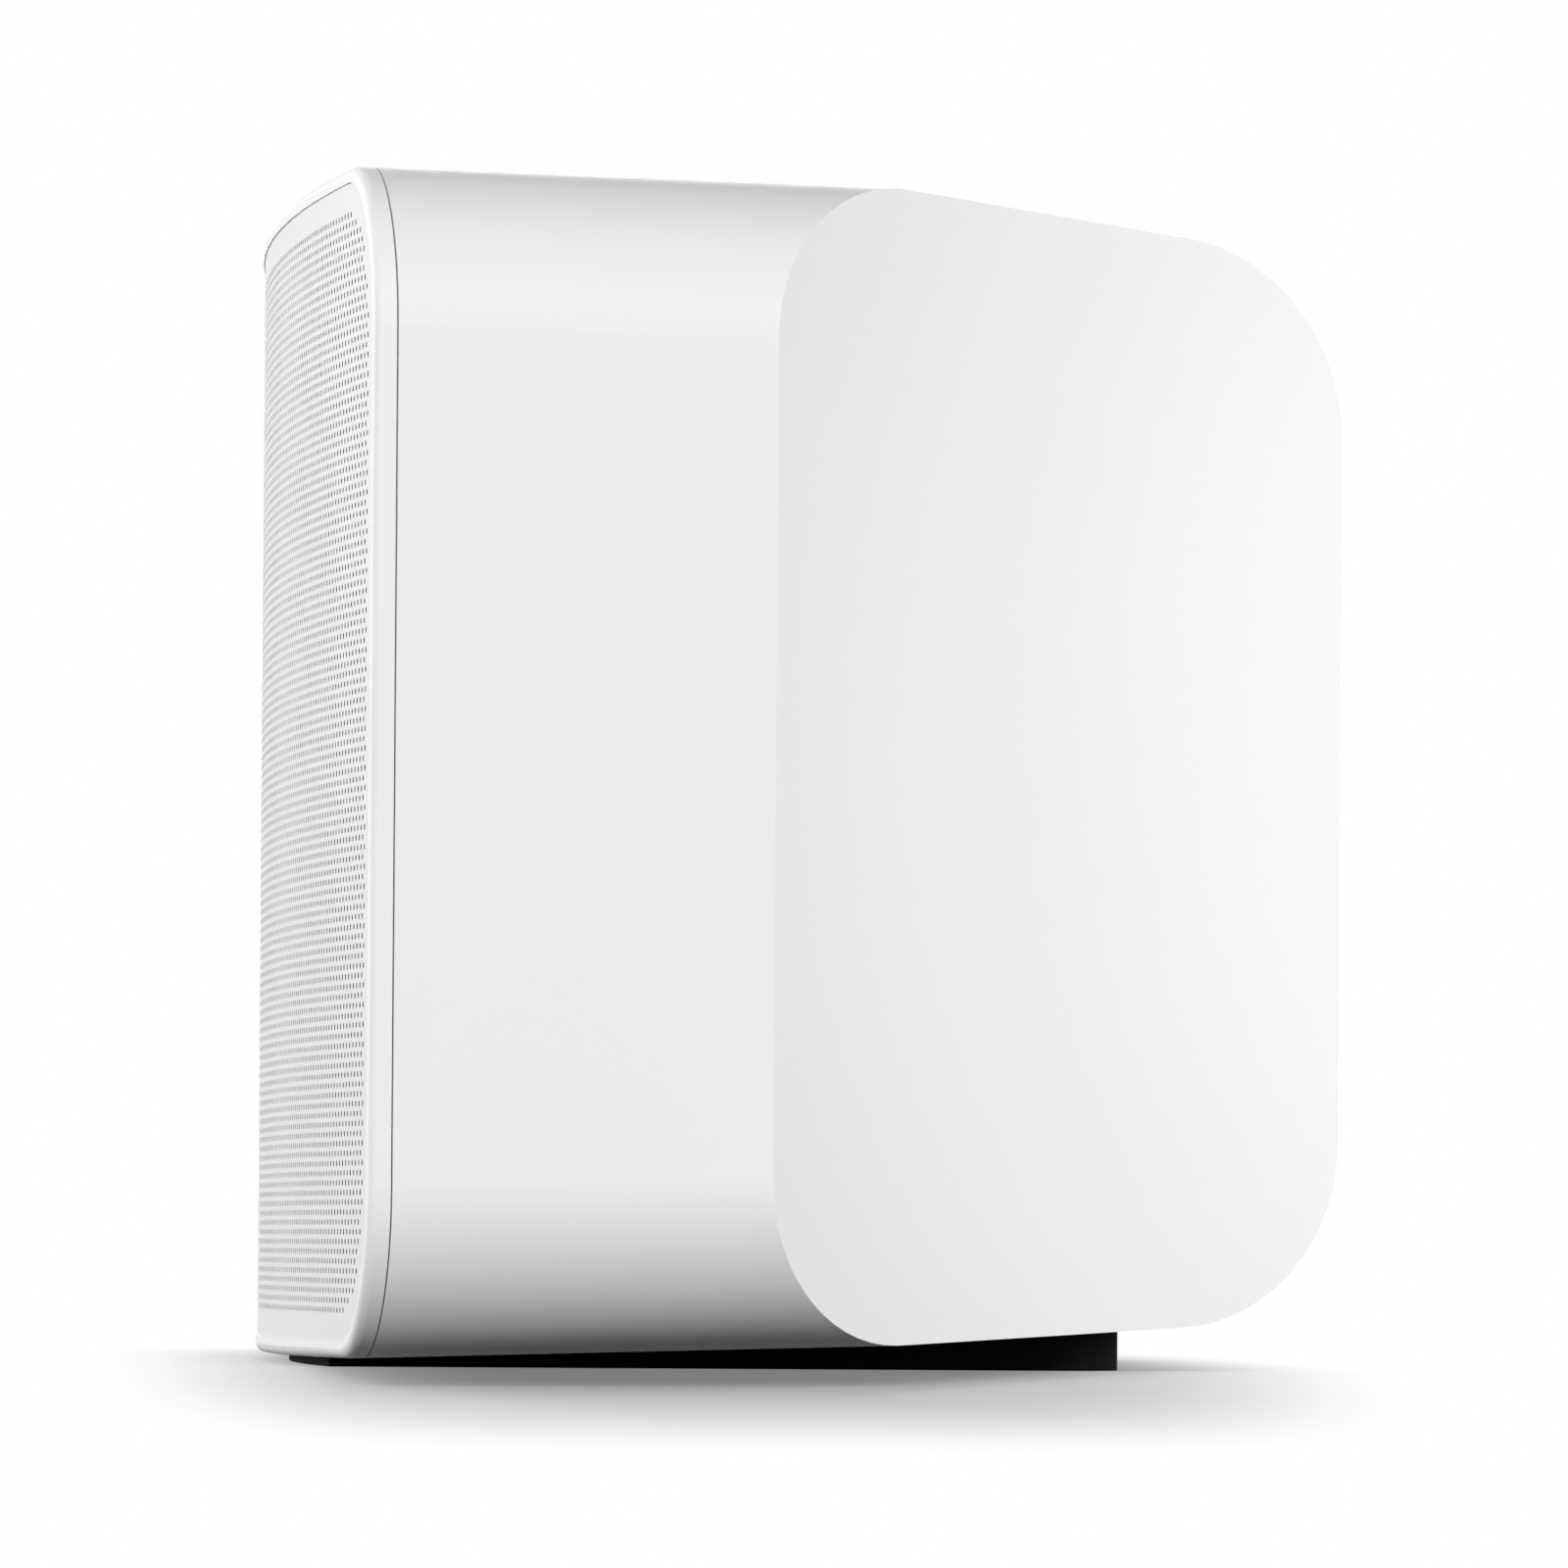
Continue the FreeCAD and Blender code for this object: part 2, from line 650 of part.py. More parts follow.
def driver(name, key, x, arms):
    """One driver on the baffle; its own Z runs forward from the gasket."""
    radius = f"{key}_radius"
    cone_radius = f"{key}_cone_radius"
    coil = f"{key}_coil_radius"
    magnet = f"{key}_magnet_radius"
    reach = f"{key}_reach"
    hole = f"({radius} - driver_seat)"
    frame_out = f"({hole} - fit_gap)"
    frame_in = f"({frame_out} - frame_wall)"
    plate_z = f"(-{key}_depth)"
    plate_back = f"({plate_z} - plate_sheet)"
    magnet_back = f"({plate_back} - {key}_magnet_height)"
    floor_z = f"({plate_z} + frame_wall)"
    shelf_z = f"({floor_z} + {reach} + frame_wall)"
    throat_z = f"({shelf_z} + spider_sheet + {reach})"
    coil_out = f"({coil} + coil_wall)"
    spider_out = f"{key}_spider_radius"
    shelf_in = f"({spider_out} - rim_width)"
    shelf_wall = f"({spider_out} + fit_gap)"
    shelf_out = f"({shelf_wall} + frame_wall)"
    ledge_out = f"({hole} + fit_gap)"
    nodes = {}

    frame = revolve(name + "_frame_blank", [
        (frame_in, "surround_ledge"),
        (ledge_out, "surround_ledge"),
        (ledge_out, "flange_sheet"),
        (radius, "flange_sheet"),
        (radius, "0"),
        (frame_out, "0"),
        (frame_out, "-frame_wall"),
        (shelf_out, f"{shelf_z} - frame_wall"),
        (shelf_out, plate_z),
        (shelf_in, plate_z),
        (shelf_in, floor_z),
        (shelf_wall, floor_z),
        (shelf_wall, f"{shelf_z} - frame_wall / 2"),
        (shelf_in, f"{shelf_z} - frame_wall / 2"),
        (shelf_in, shelf_z),
        (shelf_wall, shelf_z),
        (shelf_wall, f"{shelf_z} + frame_wall / 2"),
        (frame_in, "-frame_wall"),
    ])
    window_in, window_out = f"{shelf_out} + frame_wall / 2", f"{frame_in} - frame_wall / 2"
    frame_windows(frame, window_in, window_out, f"{shelf_z} - frame_wall", arms)
    nodes["frame"] = driver_place(frame, x)

    nodes["top_plate"] = driver_place(revolve(name + "_top_plate", [
        (f"{coil_out} + coil_gap", plate_back),
        (f"{magnet} - frame_wall", plate_back),
        (f"{magnet} - frame_wall", plate_z),
        (f"{coil_out} + coil_gap", plate_z),
    ]), x)
    nodes["magnet"] = driver_place(revolve(name + "_magnet", [
        (f"{coil_out} + plate_sheet", magnet_back),
        (magnet, magnet_back),
        (magnet, plate_back),
        (f"{coil_out} + plate_sheet", plate_back),
    ]), x)
    nodes["yoke"] = driver_place(revolve(name + "_yoke", [
        ("0", f"{magnet_back} - plate_sheet"),
        (f"{magnet} - frame_wall", f"{magnet_back} - plate_sheet"),
        (f"{magnet} - frame_wall", magnet_back),
        (f"{coil} - coil_gap", magnet_back),
        (f"{coil} - coil_gap", plate_z),
        ("0", plate_z),
    ]), x)
    nodes["coil"] = driver_place(revolve(name + "_coil", [
        (coil, f"{plate_back} - {reach}"),
        (coil_out, f"{plate_back} - {reach}"),
        (coil_out, throat_z),
        (coil, throat_z),
    ]), x)

    rim_z = "(surround_ledge - glue_gap)"
    rim_in = f"({cone_radius} - rim_width)"
    neck_z = f"({throat_z} + 1.5 * cone_wall)"
    nodes["cone"] = driver_place(revolve(name + "_cone", [
        (coil, throat_z),
        (coil_out, throat_z),
        (rim_in, f"{rim_z} - cone_wall"),
        (cone_radius, f"{rim_z} - cone_wall"),
        (cone_radius, rim_z),
        (rim_in, rim_z),
        (coil, neck_z),
    ]), x)
    cap = f"{key}_cap_radius"
    slope = f"(({rim_z} - {neck_z}) / ({rim_in} - {coil}))"
    cap_z = f"({neck_z} + ({cap} - {coil}) * {slope} + glue_gap / 2)"
    cap_in = f"({cap} - cone_wall)"
    rise = f"{key}_cap_rise"
    rise_in = f"({rise} - cone_wall)"
    nodes["dust_cap"] = driver_place(revolve(name + "_dust_cap", [
        (cap, cap_z, f"(({cap}^2 + {rise}^2) / (2 * {rise}))"),
        ("0", f"({cap_z} + {rise})"),
        ("0", f"({cap_z} + {rise_in})", f"(-({cap_in}^2 + {rise_in}^2) / (2 * {rise_in}))"),
        (cap_in, cap_z),
    ]), x)
    roll_in = cone_radius
    roll_out = f"({frame_in} - fit_gap)"
    roll_r = f"(({roll_out} - {roll_in}) / 2 + roll_wall / 4)"
    top_z = "(surround_ledge + roll_wall)"
    nodes["surround"] = driver_place(revolve(name + "_surround", [
        (rim_in, "surround_ledge"),
        (f"{roll_in} + roll_wall", "surround_ledge", f"-({roll_r} - roll_wall)"),
        (f"{roll_out} - roll_wall", "surround_ledge"),
        (f"{ledge_out} - fit_gap", "surround_ledge"),
        (f"{ledge_out} - fit_gap", top_z),
        (roll_out, top_z, roll_r),
        (roll_in, top_z),
        (rim_in, top_z),
    ]), x)
    spider_in = f"({coil_out} + glue_gap)"
    lip_r = f"({spider_out} - rim_width)"
    crest = [(spider_in, shelf_z)]
    for number in range(1, 2 * FOLD_COUNT):
        height = f"{shelf_z} + spider_sheet" if number % 2 else shelf_z
        crest.append((f"({spider_in} + ({lip_r} - {spider_in}) * {number} / {2 * FOLD_COUNT})", height))
    crest += [(lip_r, shelf_z), (spider_out, shelf_z)]
    above = [(r, f"({z} + spider_sheet)") for r, z in reversed(crest)]
    nodes["spider"] = driver_place(revolve(name + "_spider", crest + above), x)
    nodes["gasket"] = driver_place(revolve(name + "_gasket", [
        (hole, "-gasket_sheet"),
        (f"{radius} - fit_gap", "-gasket_sheet"),
        (f"{radius} - fit_gap", "0"),
        (hole, "0"),
    ]), x)
    return nodes


def flange_spots(key, x, count):
    """Screw seats round a driver's flange."""
    ring = f"({key}_radius - driver_seat / 2)"
    spots = []
    for number in range(count):
        angle = (number + 0.5) * 360 / count
        seat_y = f"({BAFFLE_Y} - gasket_sheet - flange_sheet)"
        spots.append((f"({x} + {ring} * cos({angle}))", seat_y, f"({MID_Z} + {ring} * sin({angle}))"))
    return spots


DRIVERS = (
    ("woofer", "woofer", "0", 6),
    ("left_driver", "side", f"-{DRIVER_X}", 4),
    ("right_driver", "side", DRIVER_X, 4),
)
parts = {}
seats = []
for name, key, x, arms in DRIVERS:
    seats += flange_spots(key, x, arms)
driver_screws, driver_screw_holes = screw_set("driver_screws", "front", seats)
parts["driver_screws"] = driver_screws
for name, key, x, arms in DRIVERS:
    for piece, thing in driver(name, key, x, arms).items():
        label = f"{name}_{piece}"
        if piece == "frame":
            thing = cut(label, thing, driver_screw_holes)
        elif piece == "gasket":
            thing.Label = label + "_blank"
            thing = cut(label + "_ring", thing, driver_screw_holes)
        parts[label] = thing

# Baffle: the plate across the mouth of the shell that carries the drivers

BOSS_IN = "(lip_width + ledge_width + screw_head_radius + fit_gap)"


def baffle_spots(y):
    """Screw seats along the top, the bottom and both sides of the baffle."""
    high = f"({form_top(BAFFLE_BACK_Y, BOSS_IN)})"
    far = f"({CREASE_X} - {BOSS_IN})"
    spots = []
    for sign in ("-", "+"):
        for across in ("-", "+"):
            spots.append((f"(0 {across} {BETWEEN_X})", y, f"({MID_Z} {sign} {high})"))
            spots.append((f"(0 {across} {far})", y, f"({MID_Z} {sign} baffle_screw_rise)"))
    return spots


def boss_web(x, z, upright):
    """Corners of the web that ties a boss to the wall beside it."""
    end_y = f"({BAFFLE_BACK_Y} + boss_length)"
    if upright:
        wall_z = form_top(end_y, "wall / 2")
        outer = f"({MID_Z} + {wall_z})" if value(z) > value(MID_Z) else f"({MID_Z} - {wall_z})"
        low, high = sorted((z, outer), key=value)
        return (f"({x} - wall / 2)", BAFFLE_BACK_Y, low), (f"({x} + wall / 2)", end_y, high)
    wall_x = f"({CREASE_X} - wall / 2)"
    outer = wall_x if value(x) > 0 else f"-{wall_x}"
    low, high = sorted((x, outer), key=value)
    return (low, BAFFLE_BACK_Y, f"({z} - wall / 2)"), (high, end_y, f"({z} + wall / 2)")


baffle_block = new_body("baffle_block")
pad(baffle_block, "XZ_Plane", BAFFLE_Y, BAFFLE_BACK_Y,
    rounded_rectangle(f"({HALF} + {SPARE} / 2)", f"(body_height / 2 + {SPARE})", SPARE, MID_Z))
baffle_screws, baffle_screw_holes = screw_set("baffle_screws", "front", baffle_spots(BAFFLE_Y))
parts["baffle_screws"] = baffle_screws
driver_holes = group("driver_holes", [
    rod(f"{name}_hole", f"{key}_radius - driver_seat", "3 * baffle_sheet", "front",
        x, f"{BAFFLE_BACK_Y} + baffle_sheet", MID_Z)
    for name, key, x, arms in DRIVERS])
parts["baffle"] = cut(
    "baffle", common("baffle_blank", plug_form, baffle_block),
    driver_holes, driver_screw_holes, baffle_screw_holes)

# Touch controls, flush with the falling top

def on_top(thing):
    """Lay an object's own XY plane on the top, from the middle of its front edge."""
    thing.Placement.Rotation = FreeCAD.Rotation(FreeCAD.Vector(1, 0, 0), -value("top_draft"))
    return place(thing, "0", SIDE_FRONT_Y, f"{MID_Z} + body_height / 2")


def touch_slab(label, grow, low, high):
    body = new_body(label)
    pad(body, "XY_Plane", low, high, rounded_rectangle(
        f"(touch_length / 2 + {grow})", f"(touch_width / 2 + {grow})",
        f"(touch_corner + {grow})", "touch_setback"))
    return on_top(body)


parts["touch_panel"] = touch_slab("touch_panel", "0", "-touch_sheet", "0")
touch_recess = touch_slab("touch_recess", "touch_gap", "-touch_sheet", SPARE)
parts["touch_board"] = touch_slab("touch_board", "-touch_border", "-wall - board_sheet", "-wall")

# Foot: a flat black base that fills the space under the rising floor

FOOT_X = "(foot_width / 2)"
FOOT_FRONT = bow_y(f"({SIDE_FRONT_Y} + foot_setback)", FOOT_X)
FOOT_BACK = f"({SEAM_Y} + foot_length)"
foot_blank = new_body("foot_blank")
pad(foot_blank, "XY_Plane", "0", f"foot_gap + {SPARE} / 2", [
    (f"-{FOOT_X}", FOOT_FRONT, BOW_R),
    (FOOT_X, FOOT_FRONT),
    (FOOT_X, f"{FOOT_BACK} - foot_corner", "foot_corner"),
    (f"{FOOT_X} - foot_corner", FOOT_BACK),
    (f"-{FOOT_X} + foot_corner", FOOT_BACK, "foot_corner"),
    (f"-{FOOT_X}", f"{FOOT_BACK} - foot_corner"),
])
FOOT_SEAT = "(screw_head + fit_gap)"
foot_spots = [
    (f"(0 {across} ({FOOT_X} - foot_screw_inset))", f"({FOOT_BACK} - foot_screw_setback - {back})", FOOT_SEAT)
    for across in ("-", "+") for back in ("0", "foot_screw_pitch")]
foot_screws, foot_screw_holes = screw_set("foot_screws", "down", foot_spots)
parts["foot_screws"] = foot_screws
foot_bores = group("foot_bores", [
    rod(f"foot_bore_{number}", "screw_head_radius + fit_gap", FOOT_SEAT, "up", x, y, "0")
    for number, (x, y, z) in enumerate(foot_spots)])
parts["base_foot"] = cut("base_foot", foot_blank, outer_form, foot_bores, foot_screw_holes)

# Rear panel, port and the boards behind it

def panel_prism(label, grow, low, high):
    body = new_body(label)
    pad(body, "XZ_Plane", low, high, rounded_rectangle(
        f"(panel_width / 2 + ({grow}))", f"(panel_height / 2 + ({grow}))",
        f"(panel_corner + ({grow}) / 2)", MID_Z))
    return body


SOCKET_Z = f"({MID_Z} - socket_drop)"
SOCKET_FACE = f"({PANEL_Y} - socket_sink)"
PAST_PANEL = f"({PANEL_Y} + {OVERCUT})"
BOARD_FRONT = f"({BOARD_Y} - board_sheet)"
BOARD_LOW = f"({SOCKET_Z} - board_height / 2)"
BOARD_HIGH = f"({SOCKET_Z} + board_height / 2)"
MAIN_LEFT, MAIN_RIGHT = "(board_end - main_board_width)", "board_end"
SUPPLY_RIGHT = f"({MAIN_LEFT} - board_spacing)"
SUPPLY_LEFT = f"({SUPPLY_RIGHT} - supply_board_width)"
SUPPLY_MID = f"(({SUPPLY_LEFT} + {SUPPLY_RIGHT}) / 2)"
JACK_X, BUTTON_X, USB_X, LAN_X = (f"({MAIN_LEFT} + {key}_place)" for key in ("jack", "button", "usb", "lan"))
PORT_Z = f"({MID_Z} + port_rise)"
PORT_OUT = "(port_radius + port_wall + port_flare)"


def board_spots():
    """Screw seats in the corners of both boards."""
    inset = "(post_radius + post_edge)"
    spots = []
    for left, right in ((MAIN_LEFT, MAIN_RIGHT), (SUPPLY_LEFT, SUPPLY_RIGHT)):
        for x in (f"({left} + {inset})", f"({right} - {inset})"):
            for z in (f"({BOARD_LOW} + {inset})", f"({BOARD_HIGH} - {inset})"):
                spots.append((x, BOARD_FRONT, z))
    return spots


def socket_block(label, x, width, height, low=BOARD_Y, high=SOCKET_FACE):
    """Box about the row of sockets, from one depth to another."""
    return box(
        label,
        (f"({x} - ({width}) / 2)", low, f"({SOCKET_Z} - ({height}) / 2)"),
        (f"({x} + ({width}) / 2)", high, f"({SOCKET_Z} + ({height}) / 2)"))


SOCKETS = {
    "mains_inlet": (SUPPLY_MID, "inlet_width", "inlet_height"),
    "line_jack": (JACK_X, "jack_side", "jack_side"),
    "usb_socket": (USB_X, "usb_width", "usb_height"),
    "lan_jack": (LAN_X, "lan_width", "lan_height"),
}
blocks = {}
cutouts = []
for label, (x, width, height) in SOCKETS.items():
    blocks[label] = socket_block(label + "_block", x, width, height)
    cutouts.append(socket_block(
        label + "_cutout", x, f"{width} + 2 * fit_gap", f"{height} + 2 * fit_gap",
        f"{PANEL_BACK_Y} - {OVERCUT}", PAST_PANEL))

lan_room = socket_block(
    "lan_hollow", LAN_X, "lan_width - 2 * lan_wall", "lan_height - 2 * lan_wall",
    f"{SOCKET_FACE} - lan_room", PAST_PANEL)
parts["lan_jack"] = cut("lan_jack", blocks["lan_jack"], lan_room)
usb_room = socket_block(
    "usb_hollow", USB_X, "usb_width - 2 * usb_shell", "usb_height - 2 * usb_shell",
    f"{SOCKET_FACE} - usb_room", PAST_PANEL)
usb_tongue = box(
    "usb_tongue",
    (f"({USB_X} - tongue_width / 2)", f"({SOCKET_FACE} - usb_room - {OVERCUT})",
     f"({SOCKET_Z} + tongue_rise - tongue_sheet / 2)"),
    (f"({USB_X} + tongue_width / 2)", f"({SOCKET_FACE} - tongue_sink)",
     f"({SOCKET_Z} + tongue_rise + tongue_sheet / 2)"))
parts["usb_socket"] = fuse("usb_socket", cut("usb_case", blocks["usb_socket"], usb_room), usb_tongue)
jack_bore = rod(
    "jack_bore", "jack_bore_radius", f"{PAST_PANEL} - {SOCKET_FACE} + jack_room", "front",
    JACK_X, PAST_PANEL, SOCKET_Z)
parts["line_jack"] = cut("line_jack", blocks["line_jack"], jack_bore)
INLET_FLOOR = f"({SOCKET_FACE} - inlet_room)"
PIN_X = [f"({SUPPLY_MID} {side} inlet_pin_spread)" for side in ("-", "+")]
inlet_lobes = [
    rod(f"inlet_lobe_{number}", "inlet_lobe_radius", f"{PAST_PANEL} - {INLET_FLOOR}", "back",
        x, INLET_FLOOR, SOCKET_Z)
    for number, x in enumerate(PIN_X)]
inlet_waist = socket_block(
    "inlet_middle", SUPPLY_MID, "2 * inlet_pin_spread", "inlet_waist", INLET_FLOOR, PAST_PANEL)
inlet_hollow = fuse("inlet_hollow", *inlet_lobes, inlet_waist)
parts["mains_inlet"] = cut("mains_inlet", blocks["mains_inlet"], inlet_hollow)
parts["inlet_pins"] = group("inlet_pins", [
    rod(f"inlet_pin_{number}", "inlet_pin_radius", "inlet_pin_length", "back", x, INLET_FLOOR, SOCKET_Z)
    for number, x in enumerate(PIN_X)])

# Pairing button, which presses a switch on the main board

BUTTON_END = f"({PANEL_Y} + button_proud)"
COLLAR_Y = f"({PANEL_BACK_Y} - button_gap / 2)"
SWITCH_TOP = f"({BOARD_Y} + switch_height)"
PLUNGER_TOP = f"({SWITCH_TOP} + plunger_height)"
STEM_END = f"({PLUNGER_TOP} + button_travel + button_gap)"
parts["pair_button"] = fuse(
    "pair_button",
    rod("button_cap", "button_radius", f"{BUTTON_END} - {COLLAR_Y}", "back", BUTTON_X, COLLAR_Y, SOCKET_Z),
    rod("button_collar", "button_radius + collar_width", "collar_sheet", "front",
        BUTTON_X, COLLAR_Y, SOCKET_Z),
    rod("button_stem", "stem_radius", f"{COLLAR_Y} - {STEM_END}", "back", BUTTON_X, STEM_END, SOCKET_Z))
parts["pair_switch"] = fuse(
    "pair_switch",
    socket_block("switch_case", BUTTON_X, "switch_side", "switch_side", BOARD_Y, SWITCH_TOP),
    rod("switch_plunger", "plunger_radius", "plunger_height", "back", BUTTON_X, SWITCH_TOP, SOCKET_Z))

# Rear panel with the posts that carry the boards

board_screws, board_screw_holes = screw_set("board_screws", "front", board_spots())
parts["board_screws"] = board_screws
posts = [
    rod(f"board_post_{number}", "post_radius", f"{PANEL_BACK_Y} - {BOARD_Y}", "back", x, BOARD_Y, z)
    for number, (x, y, z) in enumerate(board_spots())]
REAR_SEAT = f"({PANEL_Y} - screw_head - screw_gap)"
EDGE_X = "(panel_width / 2 - panel_ledge / 2)"
EDGE_Z = "(panel_height / 2 - panel_ledge / 2)"
rear_spots = []
for across in ("-", "+"):
    for side in ("-", "+"):
        rear_spots.append((f"(0 {across} rear_screw_spread)", REAR_SEAT, f"({MID_Z} {side} {EDGE_Z})"))
    rear_spots.append((f"(0 {across} {EDGE_X})", REAR_SEAT, f"({MID_Z} + rear_screw_rise)"))
rear_screws, rear_screw_holes = screw_set("rear_screws", "back", rear_spots)
parts["rear_screws"] = rear_screws
rear_bores = group("rear_bores", [
    rod(f"rear_bore_{number}", "screw_head_radius + fit_gap", f"screw_head + {OVERCUT}", "back", *spot)
    for number, spot in enumerate(rear_spots)])
port_hole = rod("port_hole", f"{PORT_OUT} + fit_gap", SPARE, "front", "0", PAST_PANEL, PORT_Z)
button_hole = rod("button_hole", "button_radius + button_gap", SPARE, "front", BUTTON_X, PAST_PANEL, SOCKET_Z)
panel_plate = panel_prism("panel_plate", "0", PANEL_BACK_Y, PANEL_Y)
parts["rear_panel"] = cut(
    "rear_panel", fuse("panel_blank", panel_plate, *posts), group("socket_cutouts", cutouts),
    port_hole, button_hole, board_screw_holes, rear_bores, rear_screw_holes)

# Bass port, a tube with a flared mouth behind a collar

FLARE_START = "(-port_flare - port_wall)"
COLLAR_BACK = "(-panel_sheet - port_wall)"
port_tube = revolve("port_tube", [
    ("port_radius", "-port_length"),
    ("port_radius + port_wall", "-port_length"),
    ("port_radius + port_wall", f"{COLLAR_BACK} - port_flare"),
    (f"{PORT_OUT} + port_wall", COLLAR_BACK),
    (f"{PORT_OUT} + port_wall", "-panel_sheet"),
    (PORT_OUT, "-panel_sheet"),
    (PORT_OUT, "0"),
    (f"{PORT_OUT} - port_edge", "0", "(2 * (port_flare + port_wall))"),
    ("port_radius", FLARE_START),
])
parts["port_tube"] = place(face(port_tube, "back"), "0", PANEL_Y, PORT_Z)

# Boards and what they carry


def circuit_board(label, left, right):
    blank = box(label + "_blank", (left, BOARD_FRONT, BOARD_LOW), (right, BOARD_Y, BOARD_HIGH))
    return cut(label, blank, board_screw_holes)


parts["main_board"] = circuit_board("main_board", MAIN_LEFT, MAIN_RIGHT)
parts["supply_board"] = circuit_board("supply_board", SUPPLY_LEFT, SUPPLY_RIGHT)


def sink_outline(left, right, height):
    low, high = f"{SOCKET_Z} - ({height}) / 2", f"{SOCKET_Z} + ({height}) / 2"
    return [(left, low), (right, low), (right, high), (left, high)]


def heat_sink():
    """Finned block on the main board, its fins in a row across."""
    body = new_body("heat_sink")
    left = f"({MAIN_LEFT} + sink_place)"
    right = f"({left} + {FIN_GAP_COUNT} * (fin_sheet + fin_gap) + fin_sheet)"
    fin_ends = f"({BOARD_FRONT} - sink_depth)"
    pad(body, "XZ_Plane", fin_ends, BOARD_FRONT, sink_outline(left, right, "sink_height"))
    gap = body.newObject("PartDesign::Pocket", "heat_sink_gap")
    gap.Profile = sketch_on(body, "XZ_Plane", sink_outline(
        f"({left} + fin_sheet)", f"({left} + fin_sheet + fin_gap)", f"sink_height + 2 * {OVERCUT}"))
    bind(gap.Profile[0], "AttachmentOffset.Base.z", f"-{fin_ends}")
    bind(gap, "Length", "fin_depth")
    row = body.newObject("PartDesign::LinearPattern", "heat_sink_gaps")
    row.Originals = [gap]
    row.Direction = (gap.Profile[0], ["H_Axis"])
    bind(row, "Length", f"{FIN_GAP_COUNT - 1} * (fin_sheet + fin_gap)")
    row.Occurrences = FIN_GAP_COUNT
    body.Tip = row
    return body


parts["heat_sink"] = heat_sink()
MODULE_X = f"({MAIN_LEFT} + module_place + module_side / 2)"
parts["wireless_module"] = socket_block(
    "wireless_module", MODULE_X, "module_side", "module_side", f"{BOARD_FRONT} - module_sheet", BOARD_FRONT)
parts["supply_coil"] = socket_block(
    "supply_coil", SUPPLY_MID, "supply_coil_width", "supply_coil_height",
    f"{BOARD_FRONT} - supply_coil_width", BOARD_FRONT)
parts["capacitors"] = group("capacitors", [
    rod(f"capacitor_{number}", "capacitor_radius", "capacitor_length", "front",
        f"({SUPPLY_MID} {side} capacitor_spread)", BOARD_FRONT, f"({SOCKET_Z} + capacitor_rise)")
    for number, side in enumerate(("-", "+"))])
parts["antennas"] = group("antennas", [
    box(f"antenna_{number}",
        (f"(0 {side} {BETWEEN_X} - antenna_width / 2)", BAFFLE_BACK_Y, f"({MID_Z} - antenna_height / 2)"),
        (f"(0 {side} {BETWEEN_X} + antenna_width / 2)", f"{BAFFLE_BACK_Y} + board_sheet",
         f"({MID_Z} + antenna_height / 2)"))
    for number, side in enumerate(("-", "+"))])

# Shell: one moulded piece, open at the front and round the rear panel

shell_front = bow_slab("shell_front", FAR_FRONT, SEAM_Y)
bosses = []
for number, (x, y, z) in enumerate(baffle_spots(BAFFLE_Y)):
    bosses.append(rod(f"baffle_boss_{number}", "boss_radius", "boss_length", "back", x, BAFFLE_BACK_Y, z))
    low, high = boss_web(x, z, upright=number % 2 == 0)
    bosses.append(box(f"boss_web_{number}", low, high))
shell_walls = cut("shell_walls", outer_form, shell_front, inner_form)
parts["cabinet_shell"] = cut(
    "cabinet_shell", fuse("shell_blank", shell_walls, *bosses), baffle_screw_holes, touch_recess,
    panel_prism("panel_recess", "fit_gap", PANEL_BACK_Y, f"{REAR_Y} + {OVERCUT}"),
    panel_prism("panel_opening", "-panel_ledge", f"{REAR_Y} - 2 * rear_wall", REAR_Y),
    rear_screw_holes, foot_screw_holes)
parts["front_bezel"] = front_bezel
parts["front_grille"] = front_grille
parts["grille_cloth"] = grille_cloth

# Check every object, then write one file for each piece

doc.recompute()
for thing in doc.Objects:
    if "Invalid" in thing.State or "Error" in thing.State:
        raise RuntimeError(f"{thing.Label} failed: {thing.State}")
for label, thing in parts.items():
    if thing.Shape.isNull() or not thing.Shape.isValid():
        raise RuntimeError(f"{label} has no valid shape")
os.makedirs("parts", exist_ok=True)
for label, thing in parts.items():
    thing.Label = label
    thing.Shape.exportStep(f"parts/{label}.step")
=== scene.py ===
import json
import math
import bmesh
import bpy
from mathutils import Matrix, Vector


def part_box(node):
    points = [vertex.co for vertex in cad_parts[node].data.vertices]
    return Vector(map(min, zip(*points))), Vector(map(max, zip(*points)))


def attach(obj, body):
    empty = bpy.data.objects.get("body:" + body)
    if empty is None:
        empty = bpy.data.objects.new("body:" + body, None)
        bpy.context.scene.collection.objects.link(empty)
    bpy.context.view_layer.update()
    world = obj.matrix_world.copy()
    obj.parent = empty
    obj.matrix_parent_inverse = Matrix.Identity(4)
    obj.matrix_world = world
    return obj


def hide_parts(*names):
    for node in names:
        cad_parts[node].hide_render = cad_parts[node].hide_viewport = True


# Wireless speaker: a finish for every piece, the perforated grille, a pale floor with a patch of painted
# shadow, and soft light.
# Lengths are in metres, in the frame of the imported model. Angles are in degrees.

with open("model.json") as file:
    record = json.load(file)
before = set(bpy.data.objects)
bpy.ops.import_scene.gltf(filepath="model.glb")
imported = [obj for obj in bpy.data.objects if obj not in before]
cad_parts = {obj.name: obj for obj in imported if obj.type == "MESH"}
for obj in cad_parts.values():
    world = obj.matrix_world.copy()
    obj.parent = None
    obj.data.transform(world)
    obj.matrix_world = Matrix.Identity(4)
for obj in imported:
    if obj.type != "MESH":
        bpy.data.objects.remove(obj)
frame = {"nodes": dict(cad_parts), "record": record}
NODES = frame["nodes"]
SLOTS = {row["node"]: row["material_slot"] for row in frame["record"]["subparts"]}
BASE = {row["slot"]: tuple(row["base_color"]) for row in frame["record"]["materials"]}
